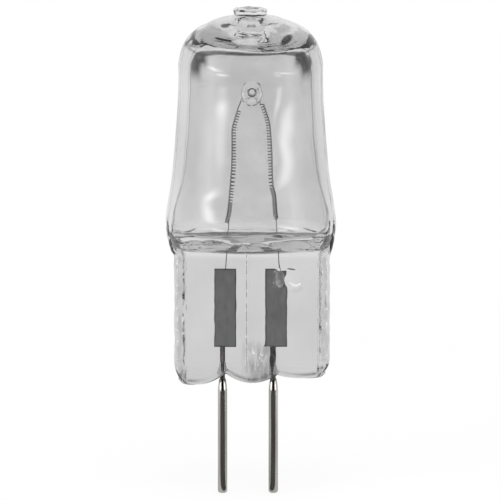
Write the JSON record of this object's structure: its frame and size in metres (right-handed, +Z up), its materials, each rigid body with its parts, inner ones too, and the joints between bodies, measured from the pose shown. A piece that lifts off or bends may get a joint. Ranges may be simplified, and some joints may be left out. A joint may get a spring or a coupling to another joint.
{
  "type": "halogen capsule bulb",
  "caption": "Clear blown quartz capsule with a flat pressed seal, a hooked coil filament, sealing foils and two straight contact pins.",
  "frame": {"origin": "midway between the contact pins, at the plane where their straight part begins below the glass", "axes": "+Z up the bulb's axis, away from the pins; +X from the left pin to the right pin; -Y towards the front face of the seal"},
  "size_m": [0.0134, 0.0134, 0.0386],
  "materials": {
    "quartz_glass": "clear polished quartz",
    "tungsten": "drawn wire, dull grey",
    "molybdenum": "rolled, satin grey",
    "nickel": "bright nickel"
  },
  "bodies": {
    "root": {"quartz_envelope": "quartz_glass", "filament": "tungsten", "foil_left": "molybdenum", "foil_right": "molybdenum", "lead_wire_left": "molybdenum", "lead_wire_right": "molybdenum", "contact_pin_left": "nickel", "contact_pin_right": "nickel"}
  },
  "joints": []
}
